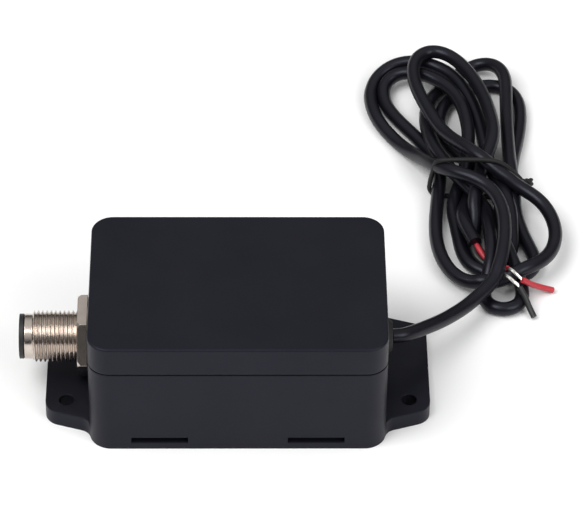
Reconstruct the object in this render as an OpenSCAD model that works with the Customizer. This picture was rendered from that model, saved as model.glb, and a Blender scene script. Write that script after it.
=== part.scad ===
// Sensor interface module: a flanged plastic box with a five-pin M12 panel
// connector on one end wall and a moulded-in two-core cable on the other.
// Millimetres. The origin is the centre of the four ear holes, on the underside.
// +X points to the cable end, +Y to the back, +Z up.

/* [Housing] */
// length of the box between its end walls
box_length = 68; // [50:1:100]
// depth of the box
box_depth = 46; // [35:1:70]
// height of the box with its lid
box_height = 30.7; // [24:0.1:40]
// height of the top rim of the base
base_height = 22.9; // [18:0.1:26]
// width of the groove between base and lid
seam_gap = 0.4; // [0.2:0.1:0.8]
// wall thickness
wall = 2.2; // [1.6:0.1:3]
// radius of the vertical corners
corner_radius = 5; // [3:0.5:8]

/* [Mounting ears] */
// distance between the outer ends of the two ears
ear_span = 88.8; // [80:0.2:110]
// thickness of the ears
ear_thickness = 4; // [2.5:0.1:6]
// hole spacing along the box
ear_hole_x = 79; // [74:0.5:90]
// hole spacing across the box
ear_hole_y = 22; // [16:0.5:30]
// diameter of the ear holes
ear_hole_diameter = 3.5; // [3:0.1:5]

/* [Clip pockets] */
// length of each narrow pocket in the long walls
pocket_length = 13; // [8:0.5:18]
// height of each pocket
pocket_height = 1.7; // [1:0.1:3]
// distance of each pocket from the middle
pocket_offset = 17.9; // [12:0.1:22]
// height of the middle of each pocket
pocket_level = 2.7; // [2:0.1:6]

/* [Connector] */
// height of the connector and cable axis
axis_height = 13.9; // [11:0.1:16]
// outside diameter of the M12 thread
thread_diameter = 12; // [12:1:12]
// distance from the box middle to the tip of the connector
connector_reach = 50.4; // [46:0.1:56]
// across-flats size of the lock nut
nut_across_flats = 17; // [15:0.5:19]

/* [Cable] */
// diameter of the cable jacket
cable_diameter = 3.4; // [3:0.1:5]
// diameter of one insulated core
core_diameter = 1.4; // [1:0.1:2]
// height of the tied hank
hank_height = 11; // [6:0.5:14]

/* [Hidden] */
$fn = 48;
// how far a cut runs past the face that it opens
cut = 1;
half_length = box_length / 2;
half_depth = box_depth / 2;
floor_thickness = 2;
roof_thickness = 2;
edge_round = 0.5;
ear_half = ear_span / 2;
ear_corner = 4;
ear_tip = [ear_half - ear_corner, 11.3];
ear_lean = 18;
ear_fillet = 3;
pocket_depth = 1.4;
lid_bottom = base_height + seam_gap;
tongue_top = base_height + 1.7;
tongue_inset = 1.3;
rebate_inset = 1.2;
seal_inset = 0.5;
boss_x = 28.2;
boss_y = 17.2;
base_boss_radius = 4;
lid_boss_radius = 3.4;
counterbore_radius = 3.1;
counterbore_depth = 12;
lid_screw_radius = 1.5;
lid_screw_head_radius = 2.8;
lid_screw_head = 2.4;
lid_screw_length = 15;
lid_pilot_radius = 1.55;
pilot_into_roof = 0.3;
screw_slot_length = 3.4;
screw_slot_width = 0.7;
screw_slot_depth = 1.2;
base_clearance_radius = 1.7;
thread_radius = thread_diameter / 2;
nose_radius = 5.2;
nose_length = 2;
rim_length = 1;
insert_radius = 4.7;
socket_radius = 4.2;
socket_depth = 8.5;
key_width = 1;
key_height = 0.8;
key_setback = 0.5;
panel_hole_radius = 6.1;
washer_thickness = 0.6;
nut_thickness = 2.3;
thread_end_x = -half_length - washer_thickness - nut_thickness;
barrel_radius = thread_radius - 0.3;
nut_turn = 2;
nut_chamfer = 0.5;
thread_clearance = 0.05;
flange_radius = 7.5;
flange_thickness = 2;
seal_ring_thickness = 1;
seal_ring_radius = flange_radius - 0.2;
inner_wall_x = half_length - wall;
shell_back_x = -inner_wall_x + seal_ring_thickness + flange_thickness;
pin_circle = 2.5;
pin_radius = 0.5;
pin_tip = 0.5;
pin_front_x = -connector_reach + 2;
pin_back_x = shell_back_x + 3;
board_length = 44;
board_width = 36;
board_bottom = 6.6;
board_thickness = 1.6;
board_top = board_bottom + board_thickness;
board_hole_x = 19;
board_hole_y = 15;
standoff_radius = 2.3;
board_screw_radius = 1.2;
board_screw_head_radius = 2.2;
board_screw_head = 1.6;
board_hole_radius = 1.4;
cable_radius = cable_diameter / 2;
core_radius = core_diameter / 2;
grommet_out = half_length + 1.8;
grommet_lip_radius = 4.3;
grommet_taper = 1;
grommet_in = inner_wall_x - 1.5;
grommet_groove_radius = 3.2;
jacket_end_x = 25;
inner_tie_x = 28.4;
inner_tie_width = 2.4;
inner_tie_band = 1;
inner_lock = [3.4, 3.6, 2.6];
// sideways distance of each inner core from the axis, and how far they fan out at the plug
core_offset = 0.8;
core_fan = 2.2;
wire_radius = 0.6;
wire_sides = 8;
// length of the straight piece at each end of a wire
straight_end = 1.6;
signal_x = -15.5;
power_x = 16.5;
plug_length = 4;
header_length = 5.6;
header_height = 4.6;
header_wall = 0.8;
plug_height = 5.2;
signal_width = 15;
power_width = 8;

// Route of the free cable from the grommet to the tied hank, along its middle.
lead_path = [
    [35.8, 0, 13.9], [37.3, 0, 13.9], [40.3, 2, 13.1], [43.6, 5.2, 11.7], [47, 9, 10],
    [50.3, 13.1, 8.4], [53.6, 17.4, 7.1], [56.7, 21.5, 6.5], [59.3, 24.9, 6.6], [61.2, 27.8, 7]
];
// Circles round which the two lobes of the hank are drawn: x, y and radius.
lower_lobe = [[58, 39, 11.5], [67.5, 44, 11], [59, 66, 9.5]];
upper_lobe = [[59, 68, 9.5], [48, 106, 14.5], [60, 102, 14.5]];
// The thin tie round the waist of the hank.
tie_left = 48.2;
tie_right = 70;
tie_front = 65.4;
tie_width = 3;
tie_thickness = 1.2;
tie_knot = 3.4;
// The two bare cores, from the side of the hank down to the table.
red_path = [
    [64, 31, 7.3], [66, 29.6, 6.6], [68.2, 29, 5.3], [70.5, 29.8, 3.6], [73, 30.4, 1.9], [75.7, 30.4, 0.9]
];
black_path = [
    [63.4, 29.2, 7.1], [65.5, 27.5, 6.2], [67, 27, 4.8], [68.5, 25.5, 3], [69.5, 23.8, 1.6], [70.6, 20.8, 0.9]
];
// The five connector wires end in a row along the signal plug.
wire_ends_y = [-5, -2.5, 0, 2.5, 5];
wire_pin_angles = [225, 315, 0, 135, 45];
plug_entry_z = 13.5;

// Rounded rectangle with true arcs, shrunk by inset on every side.
module outline(inset) {
    length = box_length - 2 * inset;
    depth = box_depth - 2 * inset;
    radius = corner_radius - inset;
    square([length, depth - 2 * radius], center = true);
    square([length - 2 * radius, depth], center = true);
    for (x = [-1, 1], y = [-1, 1])
        translate([x * (length / 2 - radius), y * (depth / 2 - radius)]) circle(radius);
}

// Prism of the box outline between two heights.
module slab(inset, bottom, top) {
    translate([0, 0, bottom]) linear_extrude(top - bottom) outline(inset);
}

// Ring of the box outline between two insets and two heights.
module rim(outer_inset, inner_inset, bottom, top) {
    translate([0, 0, bottom]) linear_extrude(top - bottom) difference() {
        outline(outer_inset);
        outline(inner_inset);
    }
}

// Four copies at plus and minus x and y.
module four(x, y) {
    for (sx = [-1, 1], sy = [-1, 1]) translate([sx * x, sy * y, 0]) children();
}

// Cylinder along +X from one x position to another on the connector axis.
module axial(radius, from_x, to_x) {
    translate([from_x, 0, axis_height]) rotate([0, 90, 0]) cylinder(r = radius, h = to_x - from_x);
}

// Block centred on x and y, standing on a height.
module block(x, y, z, size_x, size_y, size_z) {
    translate([x - size_x / 2, y - size_y / 2, z]) cube([size_x, size_y, size_z]);
}

// Cross-section ring of a tube at one path point, square to the local direction.
function unit(v) = v / norm(v);
function heading(path, i) =
    unit(path[min(i + 1, len(path) - 1)] - path[max(i - 1, 0)]);
function side(direction) = unit(cross(direction, [0, 0, 1]));
function ring(path, i, radius) =
    let (d = heading(path, i), s = side(d), u = cross(s, d))
    [for (k = [0:wire_sides - 1])
        path[i] + radius * (cos(360 * k / wire_sides) * s + sin(360 * k / wire_sides) * u)];

// Closed tube that follows a list of points.
module tube(path, radius) {
    rings = len(path);
    points = [for (i = [0:rings - 1]) each ring(path, i, radius)];
    walls = [for (i = [0:rings - 2], k = [0:wire_sides - 1])
        [i * wire_sides + k, i * wire_sides + (k + 1) % wire_sides,
            (i + 1) * wire_sides + (k + 1) % wire_sides, (i + 1) * wire_sides + k]];
    start_cap = [[for (k = [wire_sides - 1:-1:0]) k]];
    end_cap = [[for (k = [0:wire_sides - 1]) (rings - 1) * wire_sides + k]];
    polyhedron(points = points, faces = concat(walls, start_cap, end_cap), convexity = 6);
}

// Half of one ear's plan: a hollow fillet at the box corner, then a leaning side.
function ear_side() =
    let (out = [sin(ear_lean), cos(ear_lean)], along = [cos(ear_lean), -sin(ear_lean)],
        side_end = ear_tip + ear_corner * out,
        box_corner = [half_length - corner_radius, half_depth - corner_radius],
        reach = corner_radius + ear_fillet,
        v = side_end + ear_fillet * out - box_corner,
        back = v * along - sqrt(pow(v * along, 2) - v * v + reach * reach),
        centre = box_corner + v - back * along,
        first = atan2(box_corner[1] - centre[1], box_corner[0] - centre[0]) + 360,
        last = 270 - ear_lean)
    concat([[half_length - wall, -1], [half_length - wall, half_depth - corner_radius]],
        [for (k = [0:6]) let (a = first + (last - first) * k / 6)
            centre + ear_fillet * [cos(a), sin(a)]],
        [side_end, ear_tip, [ear_tip[0], -1]]);

// Plan of one mounting ear with rounded outer corners.
module ear_plan() {
    for (m = [0, 1]) mirror([0, m, 0]) {
        polygon(ear_side());
        translate(ear_tip) circle(ear_corner);
    }
    translate([half_length - wall, -ear_tip[1]])
        square([ear_half - half_length + wall, 2 * ear_tip[1]]);
}

// Base: floor, walls, ears, bosses, standoffs and the sealing tongue.
module base_housing() {
    color([0.05, 0.05, 0.06]) difference() {
        union() {
            rim(0, wall, 0, base_height);
            slab(wall / 2, 0, floor_thickness);
            rim(tongue_inset, wall, base_height - 1, tongue_top);
            for (turn = [0, 180]) rotate(turn) linear_extrude(ear_thickness) ear_plan();
            intersection() {
                four(boss_x, boss_y) cylinder(r = base_boss_radius, h = base_height);
                slab(wall / 2, 0, base_height);
            }
            four(board_hole_x, board_hole_y) cylinder(r = standoff_radius, h = board_bottom);
        }
        four(ear_hole_x / 2, ear_hole_y / 2)
            translate([0, 0, -cut]) cylinder(d = ear_hole_diameter, h = ear_thickness + 2 * cut);
        four(boss_x, boss_y) {
            translate([0, 0, -cut]) cylinder(r = counterbore_radius, h = counterbore_depth + cut);
            cylinder(r = base_clearance_radius, h = base_height + cut);
        }
        four(board_hole_x, board_hole_y)
            translate([0, 0, floor_thickness]) cylinder(r = board_screw_radius, h = board_bottom);
        for (x = [-1, 1], y = [-1, 1])
            block(x * pocket_offset, y * half_depth, pocket_level - pocket_height / 2,
                pocket_length, 2 * pocket_depth, pocket_height);
        axial(panel_hole_radius, -half_length - cut, -half_length + wall + cut);
        axial(grommet_groove_radius, half_length - wall - cut, half_length + cut);
    }
}

// Half of an upright section whose top outer corner is rounded.
function half_section(half, bottom, top) = concat([[0, bottom], [half, bottom]],
    [for (a = [0:15:90]) [half - edge_round * (1 - cos(a)), top - edge_round * (1 - sin(a))]],
    [[0, top]]);

// Prism of the box outline with its top edge rounded all the way round.
module rounded_top(bottom, top) {
    straight_x = box_length - 2 * corner_radius;
    straight_y = box_depth - 2 * corner_radius;
    for (turn = [0, 180]) rotate(turn) {
        translate([-straight_x / 2, 0, 0]) rotate([90, 0, 90])
            linear_extrude(straight_x) polygon(half_section(half_depth, bottom, top));
        translate([0, straight_y / 2, 0]) rotate([90, 0, 0])
            linear_extrude(straight_y) polygon(half_section(half_length, bottom, top));
    }
    for (x = [-1, 1], y = [-1, 1]) translate([x * straight_x / 2, y * straight_y / 2, 0])
        rotate_extrude() polygon(half_section(corner_radius, bottom, top));
}

// Lid: roof, skirt with a rebate over the tongue, and four screw bosses.
module lid() {
    roof_bottom = box_height - roof_thickness;
    color([0.05, 0.05, 0.06]) difference() {
        union() {
            difference() {
                rounded_top(lid_bottom, box_height);
                slab(wall, lid_bottom - cut, roof_bottom);
                slab(rebate_inset, lid_bottom - cut, tongue_top);
            }
            four(boss_x, boss_y) translate([0, 0, lid_bottom])
                cylinder(r = lid_boss_radius, h = roof_bottom - lid_bottom + roof_thickness / 2);
        }
        four(boss_x, boss_y) translate([0, 0, lid_bottom - cut])
            cylinder(r = lid_pilot_radius, h = roof_bottom - lid_bottom + cut + pilot_into_roof);
    }
}

// Flat gasket that shows as a dark line in the groove.
module lid_seal() {
    color([0.02, 0.02, 0.02]) rim(seal_inset, rebate_inset, base_height, lid_bottom);
}

// Pan-head screws driven up through the corner bosses.
module lid_screws() {
    color([0.7, 0.7, 0.72]) four(boss_x, boss_y) difference() {
        union() {
            translate([0, 0, counterbore_depth]) cylinder(r = lid_screw_radius, h = lid_screw_length);
            translate([0, 0, counterbore_depth - lid_screw_head])
                cylinder(r = lid_screw_head_radius, h = lid_screw_head);
        }
        for (turn = [0, 90]) rotate(turn)
            block(0, 0, counterbore_depth - lid_screw_head - cut,
                screw_slot_length, screw_slot_width, screw_slot_depth + cut);
    }
}

// Plated brass shell: plain nose, threaded barrel and inside flange.
module connector_shell() {
    tip_x = -connector_reach + rim_length;
    color([0.75, 0.73, 0.7]) difference() {
        union() {
            axial(nose_radius, tip_x, -half_length);
            axial(thread_radius, tip_x + nose_length, thread_end_x);
            axial(barrel_radius, thread_end_x, shell_back_x);
            axial(flange_radius, shell_back_x - flange_thickness, shell_back_x);
        }
        axial(insert_radius, tip_x - cut, shell_back_x + cut);
    }
}

// Black carrier of the pins, with its rim in front of the shell and a coding key.
module connector_insert() {
    tip_x = -connector_reach;
    color([0.03, 0.03, 0.03]) difference() {
        union() {
            axial(nose_radius, tip_x, tip_x + rim_length);
            axial(insert_radius, tip_x + rim_length, shell_back_x);
        }
        difference() {
            axial(socket_radius, tip_x - cut, tip_x + socket_depth);
            block(tip_x + socket_depth / 2 + key_setback, 0, axis_height + socket_radius - key_height,
                socket_depth, key_width, 2 * key_height);
        }
        pin_places() axial(pin_radius, tip_x, shell_back_x + cut);
    }
}

// Four contacts on a circle and one in the middle.
module pin_places() {
    children();
    for (a = [45:90:315]) translate([0, pin_circle * sin(a), pin_circle * cos(a)]) children();
}

// Contact pins with a tapered tip and a solder end inside the box.
module connector_pins() {
    color([0.8, 0.65, 0.3]) pin_places() {
        axial(pin_radius, pin_front_x + pin_tip, pin_back_x);
        translate([pin_front_x, 0, axis_height]) rotate([0, 90, 0])
            cylinder(r1 = pin_radius / 2, r2 = pin_radius, h = pin_tip);
    }
}

// Flat ring between the end wall and the inside flange.
module connector_seal() {
    color([0.02, 0.02, 0.02]) difference() {
        axial(seal_ring_radius, -inner_wall_x, -inner_wall_x + seal_ring_thickness);
        axial(barrel_radius, -half_length, 0);
    }
}

// Thin washer under the lock nut.
module lock_washer() {
    outside = -half_length - washer_thickness;
    color([0.6, 0.6, 0.6]) difference() {
        axial(nut_across_flats / 2, outside, -half_length);
        axial(thread_radius + thread_clearance, outside - cut, 0);
    }
}

// Hexagonal lock nut, its corners turned down by a shallow cone on both faces.
module lock_nut() {
    back_x = -half_length - washer_thickness;
    corner = nut_across_flats / 2 / cos(30);
    color([0.75, 0.73, 0.7]) difference() {
        intersection() {
            translate([back_x - nut_thickness, 0, axis_height]) rotate([nut_turn, 0, 0])
                rotate([0, 90, 0]) linear_extrude(nut_thickness) hexagon(corner);
            translate([back_x - nut_thickness, 0, axis_height]) rotate([0, 90, 0])
                cylinder(r1 = corner - nut_chamfer, r2 = corner + 2 * nut_chamfer, h = nut_thickness);
        }
        axial(thread_radius + thread_clearance, back_x - nut_thickness - cut, 0);
    }
}

// Hexagon with two sides square to the first axis of the plane.
module hexagon(corner) {
    polygon([for (k = [0:5]) corner * [cos(60 * k + 30), sin(60 * k + 30)]]);
}

// One wire from a connector pin across to the plug on the board.
module connector_wire(index) {
    reach = index == 2 ? 0 : pin_circle;
    start_y = reach * sin(wire_pin_angles[index]);
    start_z = axis_height + reach * cos(wire_pin_angles[index]);
    end_x = signal_x - plug_length / 2;
    end_y = wire_ends_y[index];
    tube([[pin_back_x, start_y, start_z], [pin_back_x + straight_end, start_y, start_z],
        [(pin_back_x + end_x) / 2, (start_y + end_y) / 2, (start_z + plug_entry_z) / 2],
        [end_x - straight_end, end_y, plug_entry_z], [end_x, end_y, plug_entry_z]], wire_radius);
}

module brown_wire() {
    color([0.35, 0.2, 0.1]) connector_wire(0);
}

module white_wire() {
    color([0.9, 0.9, 0.88]) connector_wire(1);
}

module gray_wire() {
    color([0.5, 0.5, 0.5]) connector_wire(2);
}

module black_wire() {
    color([0.04, 0.04, 0.04]) connector_wire(3);
}

module blue_wire() {
    color([0.1, 0.2, 0.6]) connector_wire(4);
}

// Board on four standoffs, clear of the corner bosses.
module circuit_board() {
    color([0.05, 0.3, 0.12]) difference() {
        block(0, 0, board_bottom, board_length, board_width, board_thickness);
        four(board_hole_x, board_hole_y)
            translate([0, 0, board_bottom - cut])
                cylinder(r = board_hole_radius, h = board_thickness + 2 * cut);
    }
}

module board_screws() {
    color([0.7, 0.7, 0.72]) four(board_hole_x, board_hole_y) {
        translate([0, 0, floor_thickness + cut])
            cylinder(r = board_screw_radius, h = board_top - floor_thickness - cut);
        translate([0, 0, board_top]) cylinder(r = board_screw_head_radius, h = board_screw_head);
    }
}

// Open-topped header on the board with a plug pushed in from above.
module header(x, width) {
    difference() {
        block(x, 0, board_top, header_length, width, header_height);
        plug(x, width);
    }
}

module plug(x, width) {
    block(x, 0, board_top + header_wall, plug_length, width - 2 * header_wall, plug_height);
}

module signal_header() {
    color([0.9, 0.88, 0.8]) header(signal_x, signal_width);
}

module signal_plug() {
    color([0.92, 0.9, 0.84]) plug(signal_x, signal_width);
}

module power_header() {
    color([0.9, 0.88, 0.8]) header(power_x, power_width);
}

module power_plug() {
    color([0.92, 0.9, 0.84]) plug(power_x, power_width);
}

// Square flat package with a row of leads along each side.
module controller_chip() {
    body = 7;
    lead_pitch = 0.8;
    color([0.06, 0.06, 0.06]) block(-5, 6, board_top + 0.15, body, body, 1.2);
    color([0.7, 0.7, 0.7]) for (turn = [0:90:270], k = [-3:3])
        translate([-5, 6, board_top]) rotate(turn)
            block(body / 2 + 0.3, k * lead_pitch, 0, 1.4, 0.35, 0.3);
}

// Eight-lead bus driver.
module transceiver_chip() {
    color([0.06, 0.06, 0.06]) block(-5, -8, board_top + 0.15, 5, 4, 1.4);
    color([0.7, 0.7, 0.7]) for (x = [-1.9, -0.63, 0.63, 1.9])
        block(-5 + x, -8, board_top, 0.4, 6, 0.3);
}

// Three-lead regulator with a wide tab.
module regulator_chip() {
    color([0.06, 0.06, 0.06]) block(12, 12, board_top + 0.1, 6.5, 3.5, 1.6);
    color([0.7, 0.7, 0.7]) {
        block(12, 14.2, board_top, 3, 2, 0.3);
        for (x = [-2.3, 0, 2.3]) block(12 + x, 9.9, board_top, 0.7, 2, 0.3);
    }
}

module power_inductor() {
    color([0.15, 0.15, 0.16]) intersection() {
        block(4, 11, board_top, 8, 8, 4);
        translate([4, 11, board_top]) cylinder(r = 5.2, h = 4);
    }
}

// Two cans on square plastic feet.
module filter_capacitors() {
    for (y = [-5.5, -13]) {
        color([0.1, 0.1, 0.1]) block(8, y, board_top, 6.6, 6.6, 0.8);
        color([0.75, 0.75, 0.77]) translate([8, y, board_top + 0.8]) cylinder(d = 6.3, h = 6.4);
    }
}

// Low metal can with rounded ends.
module clock_crystal() {
    color([0.78, 0.78, 0.78]) translate([-6, 14, board_top]) linear_extrude(3.2) {
        square([6.6, 3.8], center = true);
        for (x = [-1, 1]) translate([x * 3.3, 0]) circle(1.9);
    }
}

module input_fuse() {
    color([0.1, 0.3, 0.2]) block(1, -12.5, board_top, 4.5, 3.2, 1);
}

// Small chip parts in two rows.
module chip_resistors() {
    color([0.12, 0.12, 0.13]) for (y = [-4, -1.5, 1], x = [0, 3])
        block(x + 0.5, y, board_top, 2, 1.2, 0.6);
}

// Rubber bush with a groove for the wall, tight on the cable.
module cable_grommet() {
    color([0.04, 0.04, 0.04]) difference() {
        union() {
            axial(grommet_lip_radius, half_length, grommet_out - grommet_taper);
            translate([grommet_out - grommet_taper, 0, axis_height]) rotate([0, 90, 0])
                cylinder(r1 = grommet_lip_radius, r2 = grommet_lip_radius - grommet_taper,
                    h = grommet_taper);
            axial(grommet_groove_radius, grommet_in, half_length);
            axial(grommet_lip_radius, grommet_in, inner_wall_x);
        }
        axial(cable_radius, grommet_in - cut, grommet_out + cut);
    }
}

// Jacketed cable inside the grommet and the box.
module cable_tail() {
    color([0.05, 0.05, 0.05]) axial(cable_radius, jacket_end_x, grommet_out);
}

// Tie round the cable just inside the grommet, with its square lock.
module inner_tie() {
    color([0.85, 0.85, 0.82]) difference() {
        union() {
            axial(cable_radius + inner_tie_band, inner_tie_x - inner_tie_width / 2,
                inner_tie_x + inner_tie_width / 2);
            block(inner_tie_x, 0, axis_height + cable_radius, inner_lock[0], inner_lock[1],
                inner_lock[2]);
        }
        axial(cable_radius, inner_tie_x - inner_tie_width, inner_tie_x + inner_tie_width);
    }
}

// Core from the end of the jacket down to the power plug.
module inner_core(offset) {
    end_x = power_x + plug_length / 2;
    tube([[jacket_end_x, offset, axis_height], [jacket_end_x - straight_end, offset, axis_height],
        [(jacket_end_x + end_x) / 2, offset * (1 + core_fan) / 2, (axis_height + plug_entry_z) / 2],
        [end_x + straight_end, offset * core_fan, plug_entry_z],
        [end_x, offset * core_fan, plug_entry_z]],
        core_radius);
}

module inner_red_core() {
    color([0.7, 0.08, 0.08]) inner_core(core_offset);
}

module inner_black_core() {
    color([0.04, 0.04, 0.04]) inner_core(-core_offset);
}

// Free cable from the grommet to the hank.
module cable_lead() {
    color([0.05, 0.05, 0.05]) tube(lead_path, cable_radius);
}

// Outer shape of the tied hank: two lobes with round ends and a narrow waist.
module cable_hank() {
    color([0.05, 0.05, 0.05]) linear_extrude(hank_height) for (lobe = [lower_lobe, upper_lobe])
        hull() for (end = lobe) translate([end[0], end[1]]) circle(end[2]);
}

// Thin tie round the waist of the hank, its twisted end to one side.
module hank_tie() {
    color([0.03, 0.03, 0.03]) {
        difference() {
            translate([tie_left, tie_front, 0])
                cube([tie_right - tie_left, tie_width, hank_height + tie_thickness]);
            translate([tie_left + tie_thickness, tie_front - cut, -cut])
                cube([tie_right - tie_left - 2 * tie_thickness, tie_width + 2 * cut, hank_height + cut]);
        }
        translate([tie_right - tie_thickness, tie_front, 0])
            cube([tie_knot, tie_width, tie_thickness * 2]);
    }
}

module free_red_core() {
    color([0.7, 0.08, 0.08]) tube(red_path, core_radius);
}

module free_black_core() {
    color([0.04, 0.04, 0.04]) tube(black_path, core_radius);
}

base_housing();
lid();
lid_seal();
lid_screws();
connector_shell();
connector_insert();
connector_pins();
connector_seal();
lock_washer();
lock_nut();
brown_wire();
white_wire();
gray_wire();
black_wire();
blue_wire();
circuit_board();
board_screws();
signal_header();
signal_plug();
power_header();
power_plug();
controller_chip();
transceiver_chip();
regulator_chip();
power_inductor();
filter_capacitors();
clock_crystal();
input_fuse();
chip_resistors();
cable_grommet();
cable_tail();
inner_tie();
inner_red_core();
inner_black_core();
cable_lead();
cable_hank();
hank_tie();
free_red_core();
free_black_core();
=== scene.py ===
"""Looks of the sensor interface module: camera, free cable, thread, surfaces and lights."""

import math

import bpy
import numpy as np
from mathutils import Matrix, Vector


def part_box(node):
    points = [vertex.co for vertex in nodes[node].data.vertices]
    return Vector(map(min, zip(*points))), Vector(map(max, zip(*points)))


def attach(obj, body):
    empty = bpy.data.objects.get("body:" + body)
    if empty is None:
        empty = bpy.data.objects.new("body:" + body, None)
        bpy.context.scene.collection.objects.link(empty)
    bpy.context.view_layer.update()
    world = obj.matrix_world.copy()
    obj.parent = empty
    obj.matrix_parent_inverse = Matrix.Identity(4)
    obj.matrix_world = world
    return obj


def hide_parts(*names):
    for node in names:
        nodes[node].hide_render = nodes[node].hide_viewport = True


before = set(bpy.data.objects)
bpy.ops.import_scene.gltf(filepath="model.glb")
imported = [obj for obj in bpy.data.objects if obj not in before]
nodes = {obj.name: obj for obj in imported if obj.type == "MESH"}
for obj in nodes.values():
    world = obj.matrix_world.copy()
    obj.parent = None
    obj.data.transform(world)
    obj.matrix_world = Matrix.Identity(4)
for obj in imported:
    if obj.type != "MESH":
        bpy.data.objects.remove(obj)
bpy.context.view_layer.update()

# Lengths are in metres where no comment says otherwise.
MM = 0.001
AXIS_HEIGHT = 0.0139
CURVE_PARTS = 24
SHARP_ANGLE = math.radians(40)

# Camera, fitted to the edges of the box in the photo: angles in degrees, and the sensor's
# width and the focal length in millimetres.
CAMERA_YAW = 1.155
CAMERA_PITCH = 41.4
CAMERA_ROLL = 0.764
CAMERA_PLACE = (0.0003, -0.616, 0.5827)
SENSOR_WIDTH = 36
FOCAL_LENGTH = 221.7

# Free cable.
CABLE_DIAMETER = 0.0034
CABLE_RADIUS = CABLE_DIAMETER / 2
CABLE_SIDES = 24

# Board, and the heights above it up to which chips show metal legs and capacitors a black seat.
BOARD_TOP = 0.0082
CHIP_LEG = 0.0003
CAPACITOR_SEAT = 0.0008

# Bare cores: over its last steps each one is stripped, and shows its twisted tinned strands.
# CORE_STEP and SLEEVE_STEP are in millimetres, and STRAND_TWIST is an angle in radians.
CORE_RADIUS = 0.0007
SLEEVE_RADIUS = CORE_RADIUS * 1.05
CORE_STEP = 0.4
SLEEVE_STEP = 0.8
STRAND_RADIUS = 0.0002
STRAND_REACH = 0.0003
STRAND_TWIST = 2.2
STRANDS = 5
TINNED_STEPS = 12

# Tie: drawn round the turns at TIE_FRONT, a little in front of where they are gathered. Its left
# side leans back by TIE_LEAN, and its ends twist together on its right side. TIE_GRIP is less
# than 1, so that the tie is pressed against the turns.
TIE_FRONT = 0.065
TIE_RADIUS = 0.0006
TIE_CLEARANCE = 0.0001
TIE_SLICE = 0.001
TIE_GRIP = 0.9
TIE_LEAN = 0.0018
TIE_POINTS = 72
TIE_ROUNDS = 12
TWIST_POINTS = 25
TWIST_TURNS = 1.25
TWIST_RADIUS = 0.0005
TWIST_THICKNESS = TIE_RADIUS * 0.9
TWIST_RUN = (0.0026, 0.0012, -0.0008)

# Connector shell, along X from its nose to its flange.
THREAD_CREST = 0.006
THREAD_DEPTH = 0.00061
THREAD_PITCH = 0.001
THREAD_START = -0.0474
THREAD_END = -0.0369
NOSE_RADIUS = 0.0052
BARREL_RADIUS = 0.0057
BORE_RADIUS = 0.0047
FLANGE_RADIUS = 0.0075
FLANGE_THICKNESS = 0.002
NOSE_BEVEL = 0.0003
THREAD_LEAD_IN = 2
RUN_OUT = 0.0001
STEPS_PER_PITCH = 14
SHELL_SIDES = 112

# Route of the free cable from the grommet to the hank, as in the CAD.
LEAD = [
    (0.0358, 0, 0.0139), (0.0373, 0, 0.0139), (0.0403, 0.002, 0.0131),
    (0.0436, 0.0052, 0.0117), (0.047, 0.009, 0.01), (0.0503, 0.0131, 0.0084),
    (0.0536, 0.0174, 0.0071), (0.0567, 0.0215, 0.0065), (0.0593, 0.0249, 0.0066),
    (0.0612, 0.0278, 0.007),
]

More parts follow.
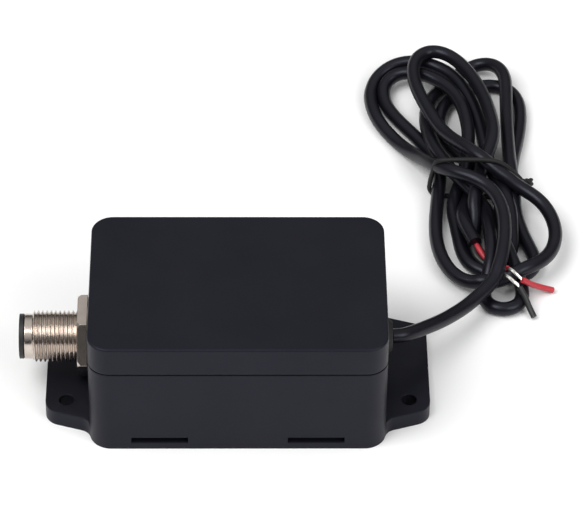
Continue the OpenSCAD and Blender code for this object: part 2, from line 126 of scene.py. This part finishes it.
# The hank in millimetres. Each turn starts where it passes the tie, (x, y, height), and then
# goes over its points in plan. Their height goes from the tie's to the turn's own over a
# distance of TIE_REACH. A point with a third number has a height of its own.
FIRST_RUN = [(62.8, 31.9, 8.7), (64, 38.8, 9.8), (64.3, 45.3, 10.3), (63.3, 52.3, 10.7),
             (60, 58.3, 11)]
TURNS = [
    {"tie": (53.5, 62.5, 11), "height": 2, "plan": [(48.5, 68.5), (44.8, 76.5), (41, 83.5),
        (37.3, 89.5), (34.7, 96.5), (34.1, 104), (36, 110.3, 2.8), (40.5, 113.3, 4.6),
        (46.1, 113.2, 5.5), (51.2, 111, 5.5), (55.7, 106, 5.5), (58.8, 98, 5.5), (60.8, 88, 5.5)]},
    {"tie": (62.5, 71, 6), "height": 2.2, "plan": [(65.2, 61), (65.9, 50), (65.8, 44),
        (64.4, 40.5), (60.9, 39), (57.4, 40.5), (56, 44), (56.3, 50), (57.8, 59)]},
    {"tie": (60, 68, 6), "height": 9, "plan": [(63.3, 78), (63.2, 86.5), (61.8, 95),
        (59.3, 103), (55.6, 109.8), (50.5, 113.6), (46.3, 111.5), (44.6, 105), (45.4, 98),
        (47.5, 90.5), (51.5, 80.5)]},
    {"tie": (58.5, 69, 11), "height": 5, "plan": [(67.5, 61.5), (72.5, 58.5), (76, 53),
        (77, 46), (75.6, 39.8, 5), (72.3, 34.6, 5.8), (68, 31.2, 6.3), (63.5, 29.6, 5),
        (58.5, 29.1, 2.8), (53, 32.4, 2), (49.5, 39.5, 2), (48.3, 48, 2), (48.7, 57, 2)]},
    {"tie": (50, 69, 2), "height": 2, "plan": [(50, 76), (46.5, 84.5), (41.6, 92),
        (38.1, 98.6), (37, 104.3, 2.6), (38.5, 108.2, 3.8), (42, 109.2, 5), (46, 108.2, 5.5),
        (51, 105.3, 5.5), (55.3, 99, 5.5), (57.3, 91, 5.5), (58, 82, 4.5)]},
    {"tie": (57, 72, 2), "height": 2, "plan": [(54.7, 62), (54.7, 51), (55.6, 43), (57.7, 37.8),
        (61.7, 34.9), (66.6, 34.2), (70.4, 35.8), (71.5, 39.8), (69.3, 47.5), (67.1, 54.5),
        (66.4, 61)]},
    {"tie": (66.5, 66, 5), "height": 5.2, "plan": [(67, 77), (67.5, 89), (68, 101),
        (67.8, 108), (65.5, 113.2, 4.4), (61, 115, 2.8), (56.3, 111.5, 2), (51.8, 106, 2),
        (48.5, 100, 2), (47.2, 92, 2.2), (47.8, 82, 3.5)]},
    {"tie": (51.5, 70, 5), "height": 5.5, "plan": [(56.6, 60.5), (59.8, 52), (60.8, 43, 6.2),
        (60.9, 37, 5.6), (60, 32, 2.6), (58.7, 27.7, 1.8), (60.1, 23.9, 1.8), (63.5, 22.4, 1.8),
        (66.9, 23.9, 1.8), (68.3, 27.7, 1.9), (67.4, 32.4, 3.1), (66.1, 37, 5.1), (64.6, 47.5, 5.4),
        (66, 58, 4)]},
    {"tie": (68, 69, 2), "height": 2, "plan": [(69, 77.5), (70.5, 86), (71.5, 94.5), (71, 102),
        (68.2, 106.5), (64, 107.4), (59, 105.8), (54.7, 102.3), (51.8, 97), (51, 89.5),
        (54.5, 80.5)]},
    {"tie": (60, 72, 2), "height": 5, "plan": [(57, 62), (56, 52.5), (57.5, 42)]},
]
TIE_REACH = 26
TIE_PULL = 1.5

# In millimetres: near TIE_Y the turns stay TIE_THICKNESS off the floor, as the tie is under them.
TIE_Y = 67
TIE_WIDTH = 6
TIE_THICKNESS = 1.1

# How the hank settles: steps, clearance and sinking in millimetres, the rest as shares of the
# distance that is left at each round, or as numbers of cable radii (NEIGHBOURS, CROSSING_LIFT).
ROUTE_STEP = 2.5
CABLE_STEP = 0.9
ROUNDING_ROUNDS = 8
ROUNDING_SHARES = (0.5, -0.52)
SETTLE_ROUNDS = 300
DRIFT_PASSES = 2
STIFFNESS = 0.4
HOME_IN_PLAN = 0.98
HOME_IN_HEIGHT = 0.997
SINK = 0.006
PUSH = 0.4
NEIGHBOURS = 2.2
CROSSING_LIFT = 3
CLEAR_OF_FLOOR = 0.05
NOT_ZERO = 1e-9
ORDER_STEP = 0.001

# The bare cores from the end of the jacket, and the short sleeves left on their ends, in
# millimetres.
RED_ROUTE = [(57.5, 42.8, 4.9), (58.7, 40.2, 4.4), (60.6, 37.6, 3.4), (62.8, 34.2, 5.3),
             (64.3, 31, 7.4), (65.7, 29.2, 8), (67.7, 28, 6.6)]
RED_SLEEVE = [(68, 27.9, 6.3), (70.3, 28.7, 4.2), (73, 29.8, 2.2), (75.7, 30.4, 0.8)]
BLACK_ROUTE = [(56.8, 42.2, 4.6), (57.5, 39.2, 4), (60.1, 36.3, 3.4), (62.4, 32, 5.8),
               (64.1, 28.4, 7.2), (65.6, 27, 6.9), (67, 26.3, 5.9)]
BLACK_SLEEVE = [(67.2, 26.2, 5.6), (68.4, 24.6, 4), (69.5, 22.8, 2.2), (70.6, 20.8, 0.8)]

# What the surfaces have in common.
MOTTLE_CONTRAST = (-0.3, 1.3)
LIGHTEST_ADDS = 0.002
SCUFF_SCALE = 5
FINE_SHARE = 4
GRAIN_DEPTH = 0.0001
ROUNDING_SAMPLES = 6

# Floor and light: the sky's strength rises from its low value at SKY_START to its high one.
FLOOR_SIZE = 6
FLOOR_WHITE = 0.95
SKY_START = 0.1
SKY_LOW = 0.03
SKY_HIGH = 0.75
LIGHT_TARGET = (0, 0, 0.01)


def add_camera():
    """Camera at its fitted place, looking down and a little to the right."""
    yaw = math.radians(CAMERA_YAW)
    pitch = math.radians(CAMERA_PITCH)
    roll = math.radians(CAMERA_ROLL)
    forward = Vector((math.sin(yaw) * math.cos(pitch), math.cos(yaw) * math.cos(pitch),
                      -math.sin(pitch)))
    level = Vector((math.cos(yaw), -math.sin(yaw), 0))
    right = math.cos(roll) * level + math.sin(roll) * level.cross(forward)
    up = right.cross(forward)
    data = bpy.data.cameras.new("camera")
    data.sensor_width = SENSOR_WIDTH
    data.lens = FOCAL_LENGTH
    data.clip_start = 0.05
    camera = bpy.data.objects.new("camera", data)
    bpy.context.scene.collection.objects.link(camera)
    place = Matrix((right, up, -forward)).transposed().to_4x4()
    place.translation = Vector(CAMERA_PLACE)
    camera.matrix_world = place
    bpy.context.scene.camera = camera


def smooth(points, step):
    """Catmull-Rom curve through points, returned at an even spacing close to step."""
    p = np.array(points, float)
    p = np.vstack([2 * p[0] - p[1], p, 2 * p[-1] - p[-2]])
    fine = []
    for a, b, c, d in zip(p[:-3], p[1:-2], p[2:-1], p[3:]):
        for t in np.linspace(0, 1, CURVE_PARTS, endpoint=False):
            fine.append(0.5 * (2 * b + (c - a) * t + (2 * a - 5 * b + 4 * c - d) * t ** 2
                               + (3 * b - 3 * c + d - a) * t ** 3))
    fine = np.array(fine + [p[-2]])
    along = np.concatenate([[0], np.cumsum(np.linalg.norm(np.diff(fine, axis=0), axis=1))])
    count = max(2, round(along[-1] / step) + 1)
    marks = np.linspace(0, along[-1], count)
    return np.stack([np.interp(marks, along, fine[:, k]) for k in range(3)], axis=1)


def height_in_turn(turn, end, x, y):
    """Height of a turn at one place in plan, drawn towards the heights at its two ties."""
    height = turn["height"]
    for tie in filter(None, (turn["tie"], end)):
        near = max(0, 1 - math.dist((x, y), tie[:2]) / TIE_REACH)
        height += (tie[2] - turn["height"]) * near ** TIE_PULL
    return height


def hank_route():
    """Control points of the whole cable, in millimetres."""
    route = [tuple(v / MM for v in point) for point in LEAD] + FIRST_RUN
    ties = [turn["tie"] for turn in TURNS]
    for turn, end in zip(TURNS, ties[1:] + [None]):
        route.append(turn["tie"])
        for x, y, *own_height in turn["plan"]:
            height = own_height[0] if own_height else height_in_turn(turn, end, x, y)
            route.append((x, y, height))
    return route


def rounded(path, rounds):
    """Takes the corners off a path; the second share undoes the shrinking of the first."""
    p = path.copy()
    for _ in range(rounds):
        for share in ROUNDING_SHARES:
            p[1:-1] += share * ((p[:-2] + p[2:]) / 2 - p[1:-1])
    return p


def crossing_lifts(home, steps, radius):
    """How far each point is sent up or down by each other one, where their turns cross."""
    way = np.gradient(home, axis=0)
    way /= np.linalg.norm(way, axis=1, keepdims=True)
    crossing = 1 - np.abs(way @ way.T)
    later_is_higher = ORDER_STEP * steps
    order = np.sign(home[:, None, 2] - home[None, :, 2] + later_is_higher)
    return CROSSING_LIFT * radius * crossing * order


def settle(path, radius, held, rounds):
    """Lets the turns push each other apart and sink, near the places that they start from.

    Where two turns cross, the one that starts higher is pushed up and the other down.
    Where they run side by side, they are pushed straight apart. The first held points stay.
    """
    home = path.copy()
    home[:, 2] = np.maximum(home[:, 2], radius)
    p = home.copy()
    gap = np.linalg.norm(p[1] - p[0])
    index = np.arange(len(p))
    steps = index[:, None] - index[None, :]
    apart = np.abs(steps) > NEIGHBOURS * radius / gap + 1
    over_tie = np.exp(-((p[:, 1] - TIE_Y) / TIE_WIDTH) ** 4)
    floor = radius + CLEAR_OF_FLOOR + TIE_THICKNESS * over_tie
    lift = crossing_lifts(home, steps, radius)
    for _ in range(rounds):
        drift = p - home
        for _ in range(DRIFT_PASSES):
            drift[1:-1] += STIFFNESS * ((drift[:-2] + drift[2:]) / 2 - drift[1:-1])
        drift[:, :2] *= HOME_IN_PLAN
        drift[:, 2] = HOME_IN_HEIGHT * drift[:, 2] - SINK
        p = home + drift
        away = p[:, None] - p[None, :]
        distance = np.linalg.norm(away, axis=2) + NOT_ZERO
        push = np.where(apart & (distance < 2 * radius), 2 * radius - distance, 0)
        away[:, :, 2] += lift
        away /= np.linalg.norm(away, axis=2, keepdims=True) + NOT_ZERO
        p += PUSH * (push[:, :, None] * away).sum(axis=1)
        p[:, 2] = np.maximum(p[:, 2], floor)
        p[:held] = home[:held]
    return p


def add_cord(name, strands, radius, closed=False, sides=14):
    """Round tube along each list of points given in metres, as one mesh."""
    corners, faces = [], []
    turn = np.linspace(0, 2 * math.pi, sides, endpoint=False)
    for strand in strands:
        p = np.array(strand, float)
        if closed:
            way = np.roll(p, -1, axis=0) - np.roll(p, 1, axis=0)
        else:
            way = np.gradient(p, axis=0)
        way /= np.linalg.norm(way, axis=1, keepdims=True)
        out = np.cross(way[0], (0, 0, 1))
        first = len(corners)
        for place, ahead in zip(p, way):
            out = out - ahead * (out @ ahead)
            out /= np.linalg.norm(out)
            up = np.cross(ahead, out)
            for angle in turn:
                spoke = math.cos(angle) * out + math.sin(angle) * up
                corners.append(tuple(place + radius * spoke))
        rings = len(p)
        for i in range(rings if closed else rings - 1):
            here, there = first + i * sides, first + (i + 1) % rings * sides
            for k in range(sides):
                faces.append((here + k, here + (k + 1) % sides,
                              there + (k + 1) % sides, there + k))
        if not closed:
            faces.append(tuple(range(first + sides - 1, first - 1, -1)))
            faces.append(tuple(range(first + (rings - 1) * sides, first + rings * sides)))
    return add_mesh(name, corners, faces, "housing")


def add_mesh(name, corners, faces, body):
    """Smooth piece that rides on a body, with its sharp edges kept sharp."""
    data = bpy.data.meshes.new(name)
    data.from_pydata(corners, [], faces)
    data.validate()
    data.shade_smooth()
    data.set_sharp_from_angle(angle=SHARP_ANGLE)
    piece = bpy.data.objects.new(name, data)
    bpy.context.scene.collection.objects.link(piece)
    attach(piece, body)
    return piece


def route_length(points):
    """Length of a line of points, in their own unit."""
    return float(np.linalg.norm(np.diff(points, axis=0), axis=1).sum())


def make_cable():
    """Centreline of the whole free cable, in metres, and the piece that follows it."""
    start = smooth(hank_route(), ROUTE_STEP)
    lead_steps = round(route_length(np.array(LEAD)) / MM / ROUTE_STEP)
    start[lead_steps:] = rounded(start[lead_steps:], ROUNDING_ROUNDS)
    held = int(np.argmin(np.linalg.norm(start - np.array(FIRST_RUN[-2]), axis=1)))
    settled = settle(start, CABLE_RADIUS / MM, held, SETTLE_ROUNDS)
    line = smooth(settled, CABLE_STEP) * MM
    cable = add_cord("cable", [line], CABLE_RADIUS, sides=CABLE_SIDES)
    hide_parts("cable_lead", "cable_hank")
    return line, cable


def make_tie(line):
    """Thin tie drawn round the turns where they are narrowest, and its twisted ends."""
    turns = line[np.abs(line[:, 1] - TIE_FRONT) < TIE_SLICE]
    reach = CABLE_RADIUS + TIE_RADIUS * TIE_GRIP
    lowest = TIE_RADIUS + TIE_CLEARANCE
    loop = []
    for angle in np.linspace(0, 2 * math.pi, TIE_POINTS, endpoint=False):
        direction = np.array([math.cos(angle), math.sin(angle)])
        outer = turns[np.argmax(turns[:, (0, 2)] @ direction)][[0, 2]] + reach * direction
        lean = TIE_LEAN * max(0, -math.cos(angle))
        loop.append((outer[0], TIE_FRONT + lean, max(outer[1], lowest)))
    loop = np.array(loop)
    for _ in range(TIE_ROUNDS):
        loop = (np.roll(loop, 1, axis=0) + 2 * loop + np.roll(loop, -1, axis=0)) / 4
    tie = add_cord("tie", [loop], TIE_RADIUS, closed=True)
    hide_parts("hank_tie")
    start = loop[np.argmax(loop[:, 0])]
    ends = []
    for side in (0, math.pi):
        strand = []
        for t in np.linspace(0, 1, TWIST_POINTS):
            turn = side + 2 * math.pi * TWIST_TURNS * t
            swing = TWIST_RADIUS * np.array([0, math.cos(turn), math.sin(turn)])
            strand.append(start + np.array(TWIST_RUN) * t + swing)
        ends.append(strand)
    twist = add_cord("tie_twist", ends, TWIST_THICKNESS)
    return tie, twist


def make_core(colour, node, route, sleeve_route):
    """Insulated core, its tinned strands and the short sleeve left on its end."""
    route = smooth(route, CORE_STEP) * MM
    sleeve_route = smooth(sleeve_route, SLEEVE_STEP) * MM
    core = add_cord(f"{colour}_core", [route[:-TINNED_STEPS]], CORE_RADIUS)
    bare = route[-TINNED_STEPS - 1:]
    strands = []
    for number in range(STRANDS):
        angle = 2 * math.pi * number / STRANDS + np.linspace(0, STRAND_TWIST, len(bare))
        swing = np.stack([np.zeros(len(bare)), np.cos(angle), np.sin(angle)], axis=1)
        strands.append(bare + STRAND_REACH * swing)
    tinned = add_cord(f"{colour}_core_strands", strands, STRAND_RADIUS, sides=8)
    sleeve = add_cord(f"{colour}_core_sleeve", [sleeve_route], SLEEVE_RADIUS)
    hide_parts(node)
    return core, tinned, sleeve


def add_turned(name, rings, body):
    """Closed skin over rings of points, each with the same number of points."""
    count = len(rings[0])
    faces = []
    for i in range(len(rings)):
        after = (i + 1) % len(rings)
        for k in range(count):
            side = (k + 1) % count
            faces.append((i * count + k, i * count + side, after * count + side, after * count + k))
    return add_mesh(name, [point for ring in rings for point in ring], faces, body)


def thread_radius(x, angle):
    """Radius of the M12 x 1 thread at one place, with run-outs at both of its ends."""
    phase = x / THREAD_PITCH + angle / (2 * math.pi)
    depth = THREAD_DEPTH * (1 - math.cos(2 * math.pi * phase)) / 2
    crest = min(THREAD_CREST, NOSE_RADIUS + THREAD_LEAD_IN * (x - THREAD_START),
                BARREL_RADIUS + max(0, THREAD_END - x))
    return min(crest, THREAD_CREST - depth) if x > THREAD_START else NOSE_RADIUS


def make_shell():
    """Connector shell with its real helical thread, in place of the plain one of the CAD."""
    low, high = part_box("connector_shell")
    flange_x = high[0] - FLANGE_THICKNESS
    steps = round((THREAD_END - THREAD_START) / THREAD_PITCH * STEPS_PER_PITCH)
    before = [(low[0], BORE_RADIUS), (low[0], NOSE_RADIUS - NOSE_BEVEL),
              (low[0] + NOSE_BEVEL, NOSE_RADIUS)]
    thread = [(x, None) for x in np.linspace(THREAD_START, THREAD_END, steps)]
    behind = [(THREAD_END + RUN_OUT, BARREL_RADIUS), (flange_x, BARREL_RADIUS),
              (flange_x, FLANGE_RADIUS), (high[0], FLANGE_RADIUS), (high[0], BORE_RADIUS)]
    rings = []
    # A ring has a plain radius, or none where it is part of the thread.
    for x, plain_radius in before + thread + behind:
        ring = []
        for angle in np.linspace(0, 2 * math.pi, SHELL_SIDES, endpoint=False):
            r = plain_radius or thread_radius(x, angle)
            ring.append((x, r * math.sin(angle), AXIS_HEIGHT + r * math.cos(angle)))
        rings.append(ring)
    shell = add_turned("threaded_shell", rings, "housing")
    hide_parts("connector_shell")
    return shell


def surface(name, colour, roughness, metallic=0.0, mottle=60, grain=2500, bump=0.1,
            variation=0.15, spread=0.08, rounding=0.0, specular=0.5, tint=(1, 1, 1), band=None):
    """Procedural surface: mottled colour, uneven gloss, fine grain and scuffed patches.

    band = (height, colour, metallic) gives what lies below a height its own finish.
    rounding is the radius by which the shading rounds the edges, in metres.
    """
    material = bpy.data.materials.new(name)
    material.use_nodes = True
    tree = material.node_tree
    shader = tree.nodes["Principled BSDF"]
    shader.inputs["Metallic"].default_value = metallic
    shader.inputs["Specular IOR Level"].default_value = specular
    shader.inputs["Specular Tint"].default_value = (*tint, 1)
    place = tree.nodes.new("ShaderNodeTexCoord")

    def noise(scale, detail):
        node = tree.nodes.new("ShaderNodeTexNoise")
        node.inputs["Scale"].default_value = scale
        node.inputs["Detail"].default_value = detail
        tree.links.new(place.outputs["Object"], node.inputs["Vector"])
        return node.outputs["Fac"]

    def ramp(value, low, high):
        node = tree.nodes.new("ShaderNodeMapRange")
        node.inputs["To Min"].default_value = low
        node.inputs["To Max"].default_value = high
        tree.links.new(value, node.inputs["Value"])
        return node.outputs["Result"]

    def math_node(operation, a, b):
        node = tree.nodes.new("ShaderNodeMath")
        node.operation = operation
        tree.links.new(a, node.inputs[0])
        if isinstance(b, (int, float)):
            node.inputs[1].default_value = b
        else:
            tree.links.new(b, node.inputs[1])
        return node.outputs["Value"]

    def mix(factor, a, b):
        node = tree.nodes.new("ShaderNodeMix")
        node.data_type = "RGBA"
        tree.links.new(factor, node.inputs["Factor"])
        for socket, value in (("A", a), ("B", b)):
            if isinstance(value, tuple):
                node.inputs[socket].default_value = value
            else:
                tree.links.new(value, node.inputs[socket])
        return node.outputs["Result"]

    dark = tuple(c * (1 - variation) for c in colour)
    light = tuple(min(1, c * (1 + variation) + LIGHTEST_ADDS) for c in colour)
    fine = noise(grain, detail=2)
    base = mix(ramp(noise(mottle, detail=3), *MOTTLE_CONTRAST), (*dark, 1), (*light, 1))
    if band:
        height, low_colour, low_metallic = band
        split = tree.nodes.new("ShaderNodeSeparateXYZ")
        tree.links.new(place.outputs["Object"], split.inputs["Vector"])
        above = math_node("GREATER_THAN", split.outputs["Z"], height)
        base = mix(above, (*low_colour, 1), base)
        tree.links.new(ramp(above, low_metallic, metallic), shader.inputs["Metallic"])
    tree.links.new(base, shader.inputs["Base Color"])
    patches = noise(mottle * SCUFF_SCALE, detail=6)
    scuffs = ramp(patches, roughness - spread, roughness + spread)
    gloss = math_node("ADD", scuffs, ramp(fine, -spread / FINE_SHARE, spread / FINE_SHARE))
    tree.links.new(gloss, shader.inputs["Roughness"])
    relief = tree.nodes.new("ShaderNodeBump")
    relief.inputs["Strength"].default_value = bump
    relief.inputs["Distance"].default_value = GRAIN_DEPTH
    tree.links.new(fine, relief.inputs["Height"])
    if rounding:
        edge = tree.nodes.new("ShaderNodeBevel")
        edge.samples = ROUNDING_SAMPLES
        edge.inputs["Radius"].default_value = rounding
        tree.links.new(edge.outputs["Normal"], relief.inputs["Normal"])
    tree.links.new(relief.outputs["Normal"], shader.inputs["Normal"])
    return material


def paint(material, *pieces):
    """Gives each piece a material in place of what it has."""
    for piece in pieces:
        piece.data.materials.clear()
        piece.data.materials.append(material)


def paint_nodes(material, *names):
    """Paints CAD nodes by their names."""
    paint(material, *(nodes[name] for name in names))


def insulation(name, colour):
    """Skin of a single core or wire."""
    return surface(name, colour, roughness=0.42, mottle=300, bump=0.05, variation=0.1)


def paint_housing():
    plastic = surface("moulded_black", (0.0066, 0.0069, 0.01), roughness=0.42, rounding=0.0004,
                      variation=0.1, specular=0.22, tint=(0.72, 0.73, 1))
    paint_nodes(plastic, "base_housing", "lid")
    rubber = surface("rubber_black", (0.009, 0.009, 0.01), roughness=0.6, mottle=200, specular=0.3)
    paint_nodes(rubber, "cable_grommet", "lid_seal", "connector_seal")
    zinc = surface("zinc_plate", (0.62, 0.62, 0.64), roughness=0.32, metallic=1, mottle=300,
                   rounding=0.0002)
    paint_nodes(zinc, "lid_screws", "board_screws")
    return rubber


def paint_connector(shell):
    nickel = surface("nickel_plate", (0.6, 0.53, 0.475), roughness=0.2, metallic=1, mottle=250,
                     grain=900, bump=0.01, variation=0.12, spread=0.05, rounding=0.00018)
    paint(nickel, shell)
    paint_nodes(nickel, "lock_nut", "lock_washer")
    carrier = surface("carrier_black", (0.01, 0.01, 0.011), roughness=0.5, mottle=200,
                      rounding=0.0001)
    paint_nodes(carrier, "connector_insert")
    gold = surface("gold_contact", (0.83, 0.6, 0.25), roughness=0.22, metallic=1, mottle=400,
                   bump=0.03)
    paint_nodes(gold, "connector_pins")


def paint_cable(cable, tie_pieces, red, black, rubber):
    jacket = surface("cable_pvc", (0.0045, 0.0045, 0.007), roughness=0.33, mottle=120, bump=0.05,
                     spread=0.06, specular=0.28, tint=(0.82, 0.83, 1))
    paint(jacket, cable)
    paint_nodes(jacket, "cable_tail")
    paint(rubber, *tie_pieces)
    tinned = surface("tinned_copper", (0.8, 0.78, 0.74), roughness=0.3, metallic=1, mottle=500)
    red_skin = insulation("red_pvc", (0.5, 0.03, 0.045))
    black_skin = insulation("black_pvc", (0.014, 0.014, 0.015))
    for skin, (core, strands, sleeve) in ((red_skin, red), (black_skin, black)):
        paint(skin, core, sleeve)
        paint(tinned, strands)
    paint_nodes(red_skin, "inner_red_core")
    paint_nodes(black_skin, "inner_black_core", "black_wire")
    for name, colour in (("brown", (0.12, 0.045, 0.02)), ("white", (0.75, 0.75, 0.72)),
                         ("gray", (0.22, 0.22, 0.23)), ("blue", (0.02, 0.06, 0.35))):
        paint_nodes(insulation(f"{name}_pvc", colour), f"{name}_wire")


def paint_electronics():
    legs = (BOARD_TOP + CHIP_LEG, (0.6, 0.6, 0.6), 1)
    seat = (BOARD_TOP + CAPACITOR_SEAT, (0.02, 0.02, 0.02), 0)
    board = surface("green_laminate", (0.012, 0.09, 0.035), roughness=0.35, mottle=90,
                    variation=0.25)
    paint_nodes(board, "circuit_board")
    nylon = surface("ivory_nylon", (0.72, 0.68, 0.55), roughness=0.45, mottle=200, rounding=0.0002)
    paint_nodes(nylon, "signal_header", "signal_plug", "power_header", "power_plug")
    clear = surface("clear_nylon", (0.6, 0.6, 0.56), roughness=0.4, mottle=200)
    paint_nodes(clear, "inner_tie")
    epoxy = surface("chip_epoxy", (0.02, 0.02, 0.022), roughness=0.5, mottle=300, band=legs)
    paint_nodes(epoxy, "controller_chip", "transceiver_chip", "regulator_chip", "chip_resistors")
    ferrite = surface("ferrite", (0.06, 0.06, 0.065), roughness=0.6, mottle=300)
    paint_nodes(ferrite, "power_inductor")
    can = surface("can_aluminium", (0.75, 0.75, 0.77), roughness=0.3, metallic=1, mottle=300,
                  band=seat)
    paint_nodes(can, "filter_capacitors")
    crystal = surface("crystal_can", (0.7, 0.7, 0.7), roughness=0.25, metallic=1)
    paint_nodes(crystal, "clock_crystal")
    fuse = surface("fuse_body", (0.03, 0.12, 0.06), roughness=0.45, mottle=300)
    paint_nodes(fuse, "input_fuse")


def add_floor():
    """Plain pale floor under the object."""
    bpy.ops.mesh.primitive_plane_add(size=FLOOR_SIZE, location=(0, 0, 0))
    floor = bpy.context.object
    floor.name = "floor"
    material = bpy.data.materials.new("floor_white")
    material.use_nodes = True
    shader = material.node_tree.nodes["Principled BSDF"]
    shader.inputs["Base Color"].default_value = (FLOOR_WHITE, FLOOR_WHITE, FLOOR_WHITE, 1)
    shader.inputs["Roughness"].default_value = 0.8
    shader.inputs["Specular IOR Level"].default_value = 0.1
    floor.data.materials.append(material)


def add_area(name, place, size, power):
    """Soft square light at a place, aimed at the middle of the object."""
    data = bpy.data.lights.new(name, "AREA")
    data.size = size
    data.energy = power
    light = bpy.data.objects.new(name, data)
    bpy.context.scene.collection.objects.link(light)
    light.location = place
    aim = Vector(LIGHT_TARGET) - Vector(place)
    light.rotation_euler = aim.to_track_quat("-Z", "Y").to_euler()


def add_lights():
    """White sky, dim near the horizon, with a key light at the left and a fill at the right."""
    world = bpy.data.worlds.new("studio")
    bpy.context.scene.world = world
    world.use_nodes = True
    tree = world.node_tree
    sky = tree.nodes["Background"]
    sky.inputs["Color"].default_value = (1, 1, 1, 1)
    place = tree.nodes.new("ShaderNodeTexCoord")
    split = tree.nodes.new("ShaderNodeSeparateXYZ")
    height = tree.nodes.new("ShaderNodeMapRange")
    height.interpolation_type = "SMOOTHSTEP"
    height.inputs["From Min"].default_value = SKY_START
    height.inputs["From Max"].default_value = 1
    height.inputs["To Min"].default_value = SKY_LOW
    height.inputs["To Max"].default_value = SKY_HIGH
    tree.links.new(place.outputs["Generated"], split.inputs["Vector"])
    tree.links.new(split.outputs["Z"], height.inputs["Value"])
    tree.links.new(height.outputs["Result"], sky.inputs["Strength"])
    add_area("key", place=(-0.5, -0.3, 0.9), size=0.7, power=8)
    add_area("fill", place=(0.6, -0.5, 0.6), size=0.6, power=4)
    bpy.context.scene.view_settings.view_transform = "Standard"


add_camera()
line, cable = make_cable()
tie_pieces = make_tie(line)
red = make_core("red", "free_red_core", RED_ROUTE, RED_SLEEVE)
black = make_core("black", "free_black_core", BLACK_ROUTE, BLACK_SLEEVE)
shell = make_shell()

rubber = paint_housing()
paint_connector(shell)
paint_cable(cable, tie_pieces, red, black, rubber)
paint_electronics()
add_floor()
add_lights()

bpy.context.view_layer.update()
